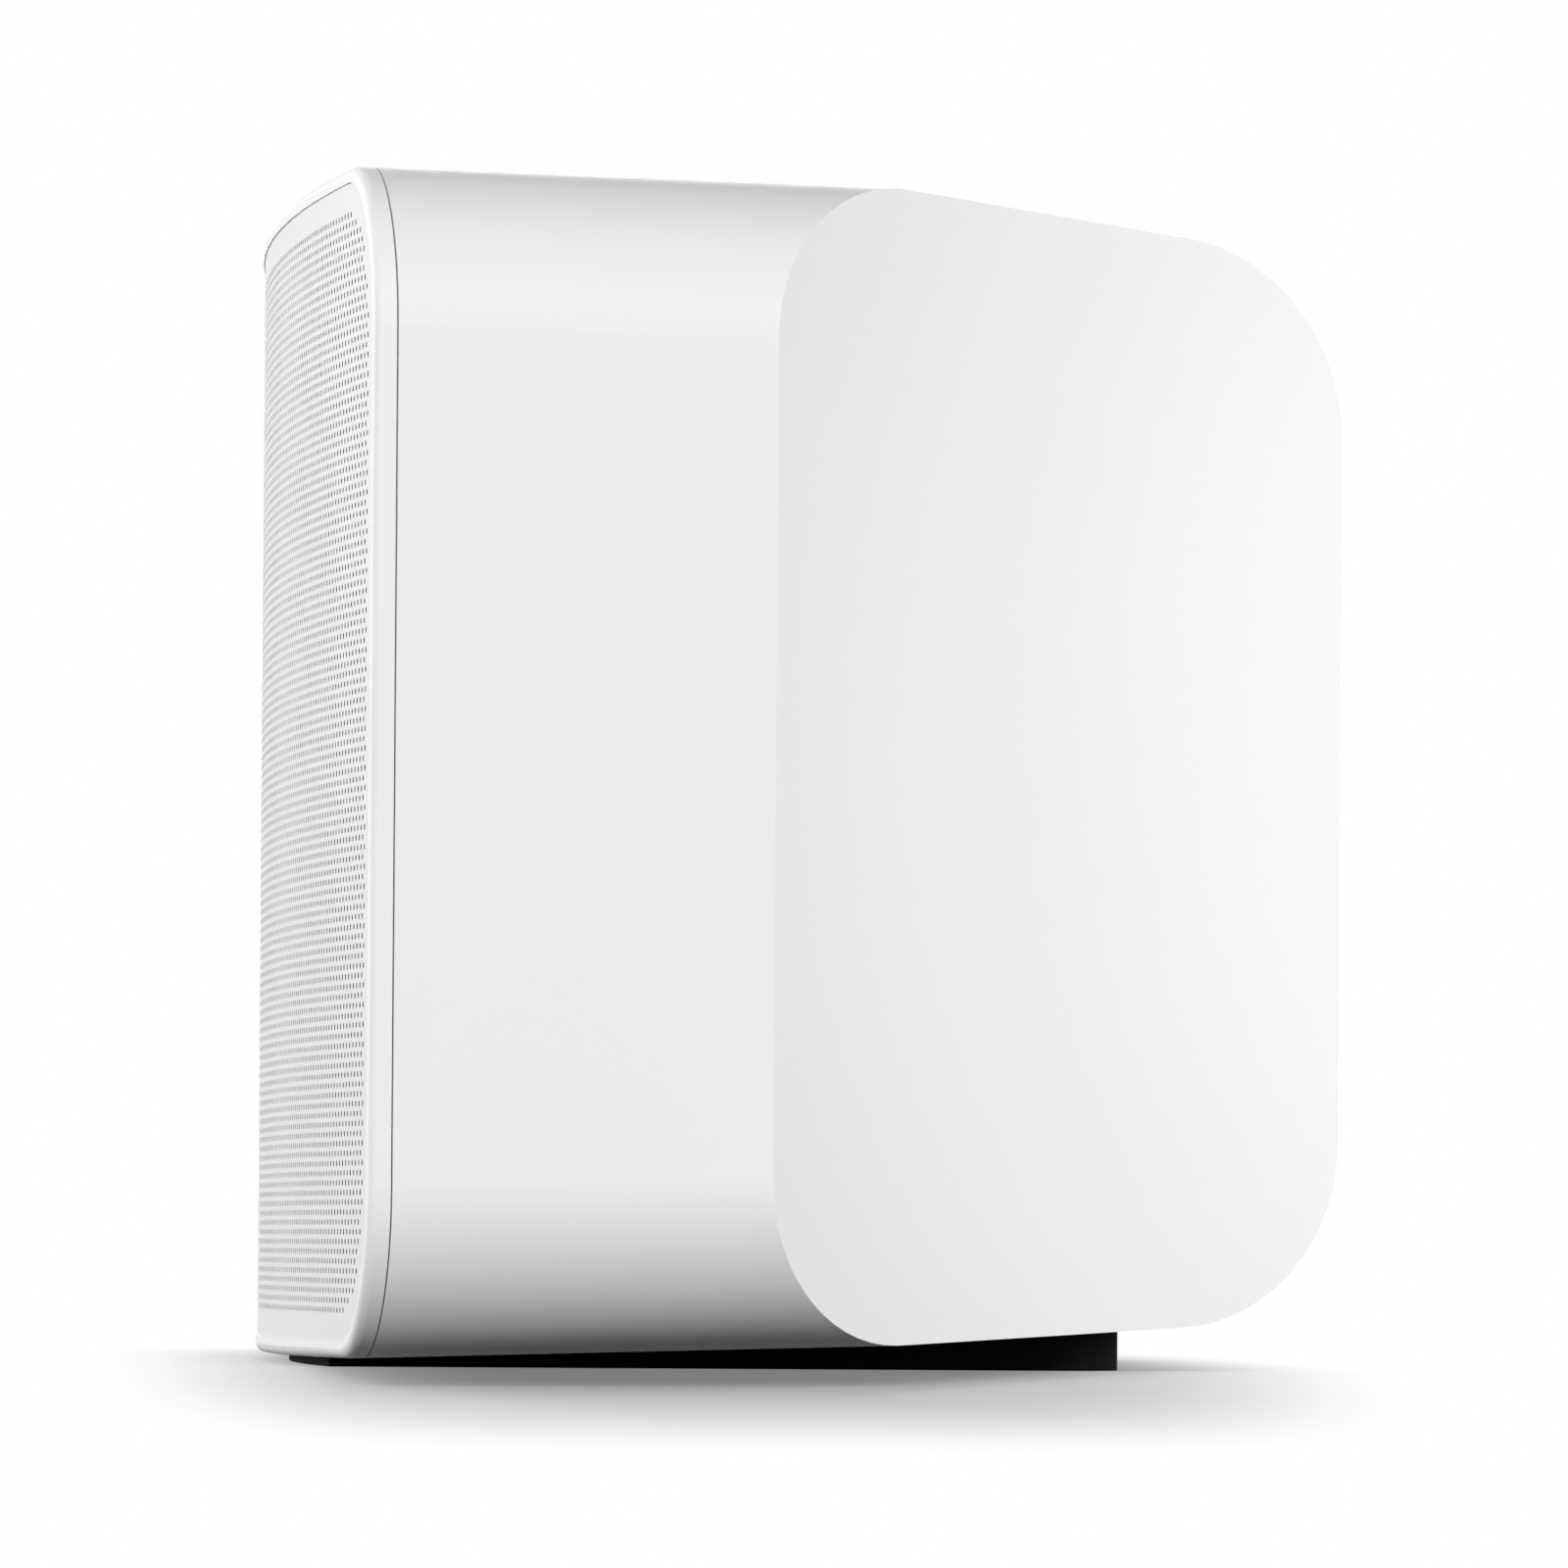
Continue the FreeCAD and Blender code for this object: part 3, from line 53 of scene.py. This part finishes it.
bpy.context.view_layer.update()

# Perforated grille: rows of holes, staggered from row to row, inside a plain border
ROW_COUNT = 113
ROW_PITCH = 0.00161
HOLE_PITCH = 0.0034
HOLE_RADIUS = 0.00057
HOLE_SIDES = 6
SPARE_CELLS = 2
SHEET_THICKNESS = 0.001
FIELD_INSET = 0.00498
SHEET_CORNER = 0.02498
SHEET_GROWTH = 0.00028
CLOTH_GAP = 0.00025
MERGE_REACH = 0.000001

# Finishes: tone is a share of the record's colour, and depth is the height of the grain.
# Pitch is the spacing of threads in cloth, or of turns in a winding.
ROUGHNESS_CHANGE = 0.05
LINE_STRETCH = (1.0, 1.0, 30.0)
LINE_POLISH = 0.08
LINE_WEAR = 0.10
THREAD_HEIGHT = 0.3
WHITE_MOULDING = dict(tone=1.0, roughness=0.55, grain=3200.0, depth=0.000012, change=0.008, specular=0.28)
PLAIN_MOULDING = dict(tone=1.0, roughness=0.55, grain=2000.0, depth=0.00004, change=0.10, specular=0.35)
RUBBER = dict(tone=1.0, roughness=0.80, grain=1500.0, depth=0.00006, change=0.15, specular=0.25)
MOULDED = {
    "shell_white": WHITE_MOULDING,
    "bezel_white": WHITE_MOULDING,
    "grille_white": dict(tone=0.85, roughness=0.50, grain=2400.0, depth=0.000015, change=0.01, specular=0.35),
    "touch_white": dict(tone=1.0, roughness=0.35, grain=1200.0, depth=0.000004, change=0.006, specular=0.30),
    "foot_black": dict(tone=0.5, roughness=0.90, grain=1500.0, depth=0.00006, change=0.15, specular=0.04),
    "roll_black": RUBBER,
    "gasket_black": RUBBER,
    "magnet_black": dict(tone=1.0, roughness=0.62, grain=700.0, depth=0.00008, change=0.25, specular=0.30),
    "cone_grey": dict(tone=1.0, roughness=0.72, grain=900.0, depth=0.00008, change=0.20, specular=0.30),
    "sleeve_blue": dict(tone=1.0, roughness=0.28, grain=1500.0, depth=0.00001, change=0.10, specular=0.50),
}
METALLIC = {
    "socket_steel": dict(tone=0.4, roughness=0.50),
    "plate_steel": dict(tone=0.15, roughness=0.60),
    "can_tin": dict(tone=1.0, roughness=0.34),
    "sink_aluminium": dict(tone=1.0, roughness=0.34),
}
WOVEN = {
    "cloth_grey": dict(roughness=0.9, pitch=0.0006),
    "spider_amber": dict(roughness=0.8, pitch=0.0008),
}
WOUND = {
    "coil_copper": dict(pitch=0.0004, metal=1.0),
    "coil_yellow": dict(pitch=0.0008, metal=0.0),
}

# Camera: a long lens close to the floor, beside the right end and a little to the front
LENS = 323.2
SENSOR = 36.0
EYE_DISTANCE = 2.2912
EYE_HEIGHT = 0.0210
EYE_SWING = 2.687
EYE_PITCH = 1.8756
EYE_ROLL = 0.369
AIM_X = 0.210
AIM_Y = -0.00954
CLIP_NEAR = 0.05
CLIP_FAR = 50.0

# Floor: flat under the foot, falling away past its right end, white outside a rounded patch of painted shadow
FLOOR_REACH = 6.0
FLOOR_FALL_START = 0.125
FLOOR_FALL = 3.0
# Grey of the floor inside the patch: the floor is darkened there as painted shadow
PAINTED_SHADOW_TONE = 0.42
FLOOR_CHANGE = 0.01
FLOOR_BOUNCE = 0.06
# Painted light: a glow added to the patch of painted shadow that lifts its darkest part
PAINTED_SHADOW_GLOW = 0.20
# Rounded patch where the floor is darkened as painted shadow, fading to white at its edge
SHADOW_MIDDLE = (0.0, -0.012, 0.0)
SHADOW_HALF_LENGTH = 0.34
SHADOW_HALF_WIDTH = 0.11
SHADOW_FADE_START = 0.2
SHADOW_FADE_END = 1.0

# Backdrop
WHITE = (1.0, 1.0, 1.0, 1.0)
WHITE_LIGHT = 1.0
DOME_LIGHT = 0.10


def deselect_all():
    bpy.ops.object.select_all(action="DESELECT")


# Nodes that the materials share


def new_material(name):
    material = bpy.data.materials.new(name)
    material.use_nodes = True
    tree = material.node_tree
    shader = next(node for node in tree.nodes if node.type == "BSDF_PRINCIPLED")
    place = tree.nodes.new("ShaderNodeTexCoord").outputs["Object"]
    return material, tree, shader, place


def noise(tree, place, scale, detail, rough=0.5):
    node = tree.nodes.new("ShaderNodeTexNoise")
    node.inputs["Scale"].default_value = scale
    node.inputs["Detail"].default_value = detail
    node.inputs["Roughness"].default_value = rough
    tree.links.new(place, node.inputs["Vector"])
    return node.outputs["Fac"]


def bands(tree, place, way, pitch, distortion, detail):
    """Even bands across one axis, a pitch apart."""
    node = tree.nodes.new("ShaderNodeTexWave")
    node.bands_direction = way
    node.inputs["Scale"].default_value = 1.0 / (math.pi * pitch)
    node.inputs["Distortion"].default_value = distortion
    node.inputs["Detail"].default_value = detail
    tree.links.new(place, node.inputs["Vector"])
    return node.outputs["Fac"]


def larger(tree, first, second):
    node = tree.nodes.new("ShaderNodeMath")
    node.operation = "MAXIMUM"
    tree.links.new(first, node.inputs[0])
    tree.links.new(second, node.inputs[1])
    return node.outputs["Value"]


def tint(tree, factor, low, high, start=0.3, end=0.7):
    """Colour that runs from low to high as the factor rises."""
    ramp = tree.nodes.new("ShaderNodeValToRGB")
    ramp.color_ramp.elements[0].position = start
    ramp.color_ramp.elements[1].position = end
    ramp.color_ramp.elements[0].color = (*low, 1.0)
    ramp.color_ramp.elements[1].color = (*high, 1.0)
    tree.links.new(factor, ramp.inputs["Fac"])
    return ramp.outputs["Color"]


def spread(tree, factor, low, high):
    """Number that runs from low to high as the factor rises."""
    node = tree.nodes.new("ShaderNodeMapRange")
    node.inputs["To Min"].default_value = low
    node.inputs["To Max"].default_value = high
    tree.links.new(factor, node.inputs["Value"])
    return node.outputs["Result"]


def relief(tree, shader, height, strength, depth):
    bump = tree.nodes.new("ShaderNodeBump")
    bump.inputs["Strength"].default_value = strength
    bump.inputs["Distance"].default_value = depth
    tree.links.new(height, bump.inputs["Height"])
    tree.links.new(bump.outputs["Normal"], shader.inputs["Normal"])


def shaded(colour, factor):
    return tuple(channel * factor for channel in colour)


# Materials of the pieces


def moulded(name, colour, tone, roughness, grain, depth, change, specular):
    """Moulded or painted surface: soft change of tone and a fine grain."""
    material, tree, shader, place = new_material(name)
    base = shaded(colour, tone)
    soft = noise(tree, place, scale=9.0, detail=3.0)
    tree.links.new(tint(tree, soft, shaded(base, 1.0 - change), shaded(base, 1.0 + change)),
                   shader.inputs["Base Color"])
    fine = noise(tree, place, scale=grain, detail=2.0)
    tree.links.new(spread(tree, fine, roughness - ROUGHNESS_CHANGE, roughness + ROUGHNESS_CHANGE),
                   shader.inputs["Roughness"])
    shader.inputs["Specular IOR Level"].default_value = specular
    relief(tree, shader, fine, strength=0.35, depth=depth)
    return material


def metallic(name, colour, tone, roughness):
    """Plated or drawn metal with fine lines."""
    material, tree, shader, place = new_material(name)
    base = shaded(colour, tone)
    mapping = tree.nodes.new("ShaderNodeMapping")
    mapping.inputs["Scale"].default_value = LINE_STRETCH
    tree.links.new(place, mapping.inputs["Vector"])
    lines = noise(tree, mapping.outputs["Vector"], scale=900.0, detail=3.0, rough=0.6)
    tree.links.new(tint(tree, lines, shaded(base, 0.88), shaded(base, 1.06)), shader.inputs["Base Color"])
    tree.links.new(spread(tree, lines, roughness - LINE_POLISH, roughness + LINE_WEAR),
                   shader.inputs["Roughness"])
    shader.inputs["Metallic"].default_value = 1.0
    relief(tree, shader, lines, strength=0.25, depth=0.00002)
    return material


def woven(name, colour, roughness, pitch):
    """Cloth: two crossed sets of threads."""
    material, tree, shader, place = new_material(name)
    across, upright = [bands(tree, place, way, pitch, distortion=0.4, detail=1.0) for way in ("X", "Z")]
    weave = larger(tree, across, upright)
    tree.links.new(tint(tree, weave, shaded(colour, 0.6), shaded(colour, 1.2), start=0.1, end=0.9),
                   shader.inputs["Base Color"])
    shader.inputs["Roughness"].default_value = roughness
    relief(tree, shader, weave, strength=0.5, depth=pitch * THREAD_HEIGHT)
    return material


def circuit(name, colour):
    """Solder mask with paler tracks under it."""
    material, tree, shader, place = new_material(name)
    cells = tree.nodes.new("ShaderNodeTexVoronoi")
    cells.feature = "DISTANCE_TO_EDGE"
    cells.distance = "MANHATTAN"
    cells.inputs["Scale"].default_value = 420.0
    tree.links.new(place, cells.inputs["Vector"])
    tree.links.new(tint(tree, cells.outputs["Distance"], shaded(colour, 1.9), colour, start=0.04, end=0.10),
                   shader.inputs["Base Color"])
    shader.inputs["Roughness"].default_value = 0.35
    relief(tree, shader, cells.outputs["Distance"], strength=0.3, depth=0.00003)
    return material


def wound(name, colour, pitch, metal):
    """Winding of fine wire in turns along Y."""
    material, tree, shader, place = new_material(name)
    turns = bands(tree, place, "Y", pitch, distortion=0.3, detail=2.0)
    tree.links.new(tint(tree, turns, shaded(colour, 0.55), colour, start=0.0, end=0.8),
                   shader.inputs["Base Color"])
    shader.inputs["Metallic"].default_value = metal
    shader.inputs["Roughness"].default_value = 0.38
    relief(tree, shader, turns, strength=0.5, depth=pitch * THREAD_HEIGHT)
    return material


def finish_of(slot):
    """The finish that a material slot of the record stands for."""
    colour = BASE[slot]
    if slot == "board_green":
        return circuit(slot, colour)
    for maker, finishes in ((moulded, MOULDED), (metallic, METALLIC), (woven, WOVEN), (wound, WOUND)):
        if slot in finishes:
            return maker(slot, colour, **finishes[slot])
    return moulded(slot, colour, **PLAIN_MOULDING)


FINISHES = {slot: finish_of(slot) for slot in BASE}


def dress(piece, slot):
    piece.data.materials.clear()
    piece.data.materials.append(FINISHES[slot])


for node_name, node in NODES.items():
    dress(node, SLOTS[node_name])

# Perforated grille: its holes are thousands, so the sheet is worked out as one lattice and bent to the bow


def outline_point(x, z, half_width, half_height, corner):
    """Nearest point on a rounded rectangle, and whether the given point lies outside it."""
    core_x = max(-(half_width - corner), min(half_width - corner, x))
    core_z = max(-(half_height - corner), min(half_height - corner, z))
    away = Vector((x - core_x, z - core_z))
    if away.length <= corner:
        return (x, z), False
    away = away.normalized() * corner
    return (core_x + away.x, core_z + away.y), True


def cell_centre(row, column):
    shift = HOLE_PITCH / 2 if row % 2 else 0.0
    return column * HOLE_PITCH + shift, (row - (ROW_COUNT - 1) / 2) * ROW_PITCH


def lattice_cells(half_width, half_height):
    """Corner points of all cells, on past the sheet's edge, and the number of each cell's first point."""
    angles = [math.radians((corner + 0.5) * 360 / HOLE_SIDES) for corner in range(HOLE_SIDES)]
    columns = int(half_width / HOLE_PITCH) + SPARE_CELLS
    extra = int((half_height - ROW_COUNT * ROW_PITCH / 2) / ROW_PITCH) + SPARE_CELLS
    points = []
    cells = {}
    for row in range(-extra, ROW_COUNT + extra):
        for column in range(-columns, columns + 1):
            x, z = cell_centre(row, column)
            cells[row, column] = len(points)
            for angle in angles:
                points.append((x + HOLE_RADIUS * math.cos(angle), z + HOLE_RADIUS * math.sin(angle)))
    return points, cells


def border_faces(cells, field):
    """Faces that close the cells of the plain border."""
    faces = []
    for (row, column), cell in cells.items():
        outside = outline_point(*cell_centre(row, column), *field)[1]
        if outside or not 0 <= row < ROW_COUNT:
            faces.append([cell + corner for corner in range(HOLE_SIDES)])
    return faces


def bridge_faces(cells):
    """Faces between each cell and its neighbours on the right and in the row above.

    The corners of a cell are numbered anticlockwise from the upper right.
    """
    faces = []
    for (row, column), cell in cells.items():
        above = column if row % 2 else column - 1
        right = cells.get((row, column + 1))
        upper_left = cells.get((row + 1, above))
        upper_right = cells.get((row + 1, above + 1))
        if right is not None:
            faces.append([cell + 5, right + 3, right + 2, cell + 0])
        if upper_right is not None:
            faces.append([cell + 0, upper_right + 4, upper_right + 3, cell + 1])
        if upper_left is not None:
            faces.append([cell + 1, upper_left + 5, upper_left + 4, cell + 2])
        if right is not None and upper_right is not None:
            faces.append([cell + 0, right + 2, upper_right + 4])
        if upper_left is not None and upper_right is not None:
            faces.append([cell + 1, upper_right + 3, upper_left + 5])
    return faces


def perforated_sheet():
    low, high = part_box("front_grille")
    half_width = (high.x - low.x) / 2 + SHEET_GROWTH
    half_height = (high.z - low.z) / 2 + SHEET_GROWTH
    middle = (high.z + low.z) / 2
    sag = high.y - SHEET_THICKNESS - low.y
    bow = (half_width ** 2 + sag ** 2) / (2 * sag)

    points, cells = lattice_cells(half_width, half_height)
    field = (half_width - FIELD_INSET, half_height - FIELD_INSET, SHEET_CORNER - FIELD_INSET)
    faces = border_faces(cells, field) + bridge_faces(cells)
    snapped = [outline_point(x, z, half_width, half_height, SHEET_CORNER) for x, z in points]
    faces = [face for face in faces if not all(snapped[index][1] for index in face)]
    verts = [(x, low.y + bow - math.sqrt(bow ** 2 - x ** 2), middle + z) for (x, z), outside in snapped]

    mesh = bpy.data.meshes.new("perforated_sheet")
    mesh.from_pydata(verts, [], faces)
    work = bmesh.new()
    work.from_mesh(mesh)
    bmesh.ops.delete(work, geom=[vert for vert in work.verts if not vert.link_faces], context="VERTS")
    bmesh.ops.dissolve_degenerate(work, dist=MERGE_REACH, edges=work.edges[:])
    work.to_mesh(mesh)
    work.free()
    piece = bpy.data.objects.new("perforated_sheet", mesh)
    bpy.context.scene.collection.objects.link(piece)
    return piece


grille = perforated_sheet()
dress(grille, "grille_white")
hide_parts("front_grille")
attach(grille, "cabinet")

# Cloth, drawn up close behind the sheet


def close_cloth():
    deselect_all()
    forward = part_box("grille_cloth")[0].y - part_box("front_grille")[0].y - CLOTH_GAP
    piece = bpy.data.objects.new("close_cloth", NODES["grille_cloth"].data.copy())
    bpy.context.scene.collection.objects.link(piece)
    bpy.context.view_layer.objects.active = piece
    piece.select_set(True)
    bpy.ops.object.mode_set(mode="EDIT")
    bpy.ops.mesh.select_all(action="SELECT")
    bpy.ops.mesh.remove_doubles(threshold=MERGE_REACH)
    bpy.ops.transform.translate(value=(0.0, -forward, 0.0))
    bpy.ops.object.mode_set(mode="OBJECT")
    return piece


cloth = close_cloth()
dress(cloth, "cloth_grey")
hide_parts("grille_cloth")
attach(cloth, "cabinet")

# Floor and backdrop


def vector_step(tree, operation, first, second):
    """One step of vector arithmetic with a fixed second value."""
    node = tree.nodes.new("ShaderNodeVectorMath")
    node.operation = operation
    tree.links.new(first, node.inputs[0])
    node.inputs[1].default_value = second
    return node.outputs["Vector"]


def painted_shadow_fade(tree, place):
    """Nought in the patch of painted shadow on the floor, rising to one at its rounded edge."""
    stretch = (1.0 / SHADOW_HALF_LENGTH, 1.0 / SHADOW_HALF_WIDTH, 0.0)
    centred = vector_step(tree, "SUBTRACT", place, SHADOW_MIDDLE)
    scaled = vector_step(tree, "MULTIPLY", centred, stretch)
    squared = tree.nodes.new("ShaderNodeVectorMath")
    squared.operation = "MULTIPLY"
    tree.links.new(scaled, squared.inputs[0])
    tree.links.new(scaled, squared.inputs[1])
    reach = tree.nodes.new("ShaderNodeVectorMath")
    reach.operation = "LENGTH"
    tree.links.new(squared.outputs["Vector"], reach.inputs[0])
    fade = tree.nodes.new("ShaderNodeMapRange")
    fade.interpolation_type = "SMOOTHSTEP"
    fade.inputs["From Min"].default_value = SHADOW_FADE_START
    fade.inputs["From Max"].default_value = SHADOW_FADE_END
    tree.links.new(reach.outputs["Value"], fade.inputs["Value"])
    return fade.outputs["Result"]


def background_seen(tree):
    """One for the eye, straight or by a reflection, and nought for light that falls on the speaker."""
    ray = tree.nodes.new("ShaderNodeLightPath")
    straight_or_mirrored = larger(tree, ray.outputs["Is Camera Ray"], ray.outputs["Is Glossy Ray"])
    return larger(tree, straight_or_mirrored, ray.outputs["Is Transmission Ray"])


def glow(tree, strength):
    node = tree.nodes.new("ShaderNodeEmission")
    node.inputs["Color"].default_value = WHITE
    node.inputs["Strength"].default_value = strength
    return node.outputs["Emission"]


def mixed(tree, factor, first, second):
    node = tree.nodes.new("ShaderNodeMixShader")
    tree.links.new(factor, node.inputs["Fac"])
    tree.links.new(first, node.inputs[1])
    tree.links.new(second, node.inputs[2])
    return node.outputs["Shader"]


def floor_material():
    """Grey near the speaker, darkened there as painted shadow over the real shadow, with a painted glow
    lifting its darkest part, and plain white further off.
    """
    material, tree, shader, place = new_material("pale_floor")
    tree.nodes.remove(shader)
    soft = noise(tree, place, scale=1.5, detail=2.0)
    near = tree.nodes.new("ShaderNodeBsdfDiffuse")
    # Painted shadow: the floor near the speaker is given a darker grey
    tree.links.new(tint(tree, soft, (PAINTED_SHADOW_TONE - FLOOR_CHANGE,) * 3, (PAINTED_SHADOW_TONE + FLOOR_CHANGE,) * 3),
                   near.inputs["Color"])
    # Painted glow added on top of the painted shadow
    painted_shade_and_glow = tree.nodes.new("ShaderNodeAddShader")
    tree.links.new(near.outputs["BSDF"], painted_shade_and_glow.inputs[0])
    tree.links.new(glow(tree, PAINTED_SHADOW_GLOW), painted_shade_and_glow.inputs[1])
    shown = mixed(tree, painted_shadow_fade(tree, place), painted_shade_and_glow.outputs["Shader"], glow(tree, WHITE_LIGHT))
    bounced = tree.nodes.new("ShaderNodeBsdfDiffuse")
    bounced.inputs["Color"].default_value = (FLOOR_BOUNCE, FLOOR_BOUNCE, FLOOR_BOUNCE, 1.0)
    surface = mixed(tree, background_seen(tree), bounced.outputs["BSDF"], shown)
    output = next(node for node in tree.nodes if node.type == "OUTPUT_MATERIAL")
    tree.links.new(surface, output.inputs["Surface"])
    return material


def add_floor():
    deselect_all()
    bpy.ops.mesh.primitive_plane_add(size=2 * FLOOR_REACH)
    floor = bpy.context.object
    floor.name = "floor"
    bpy.ops.object.mode_set(mode="EDIT")
    bpy.ops.mesh.select_all(action="SELECT")
    bpy.ops.mesh.bisect(plane_co=(FLOOR_FALL_START, 0.0, 0.0), plane_no=(1.0, 0.0, 0.0))
    bpy.ops.object.mode_set(mode="OBJECT")
    slope = math.tan(math.radians(FLOOR_FALL))
    for vert in floor.data.vertices:
        vert.co.z = -slope * max(0.0, vert.co.x - FLOOR_FALL_START)
    floor.data.materials.append(floor_material())


def add_world():
    world = bpy.data.worlds.new("studio")
    bpy.context.scene.world = world
    world.use_nodes = True
    tree = world.node_tree
    dome = next(node for node in tree.nodes if node.type == "BACKGROUND")
    dome.inputs["Color"].default_value = WHITE
    dome.inputs["Strength"].default_value = DOME_LIGHT
    backdrop = tree.nodes.new("ShaderNodeBackground")
    backdrop.inputs["Color"].default_value = WHITE
    backdrop.inputs["Strength"].default_value = WHITE_LIGHT
    surface = mixed(tree, background_seen(tree), dome.outputs["Background"], backdrop.outputs["Background"])
    output = next(node for node in tree.nodes if node.type == "OUTPUT_WORLD")
    tree.links.new(surface, output.inputs["Surface"])


# Lamps and camera


def add_softbox(name, place, aim, size, power):
    """Rectangular lamp, hidden from the camera, with its power in watts."""
    deselect_all()
    turn = (Vector(aim) - Vector(place)).to_track_quat("-Z", "Y").to_euler()
    bpy.ops.object.light_add(type="AREA", location=place, rotation=turn)
    lamp = bpy.context.object
    lamp.name = name
    lamp.data.shape = "RECTANGLE"
    lamp.data.size = size[0]
    lamp.data.size_y = size[1]
    lamp.data.energy = power
    lamp.visible_camera = False


def add_camera():
    swing = math.radians(EYE_SWING)
    place = (AIM_X + EYE_DISTANCE * math.cos(swing),
             AIM_Y - EYE_DISTANCE * math.sin(swing),
             EYE_HEIGHT)
    turn = (Matrix.Rotation(math.pi / 2 - swing, 4, "Z")
            @ Matrix.Rotation(math.pi / 2 + math.radians(EYE_PITCH), 4, "X")
            @ Matrix.Rotation(math.radians(EYE_ROLL), 4, "Z"))
    deselect_all()
    bpy.ops.object.camera_add(location=place, rotation=turn.to_euler())
    camera = bpy.context.object
    camera.data.lens = LENS
    camera.data.sensor_width = SENSOR
    camera.data.clip_start = CLIP_NEAR
    camera.data.clip_end = CLIP_FAR
    bpy.context.scene.camera = camera


add_floor()
add_world()
add_softbox("side_light", place=(3.43, -0.87, 1.17), aim=(0.2, 0.0, 0.1), size=(2.0, 0.9), power=112.0)
add_softbox("rear_light", place=(0.22, 0.45, 0.08), aim=(0.14, 0.08, 0.09), size=(0.4, 0.3), power=1.74)
add_softbox("front_light", place=(-1.3, -1.85, 0.55), aim=(0.0, -0.05, 0.1), size=(1.4, 1.0), power=39.0)
add_softbox("far_light", place=(-2.1, 0.5, 0.55), aim=(-0.1, 0.0, 0.1), size=(1.4, 1.0), power=38.0)
add_camera()
bpy.context.scene.view_settings.view_transform = "Standard"
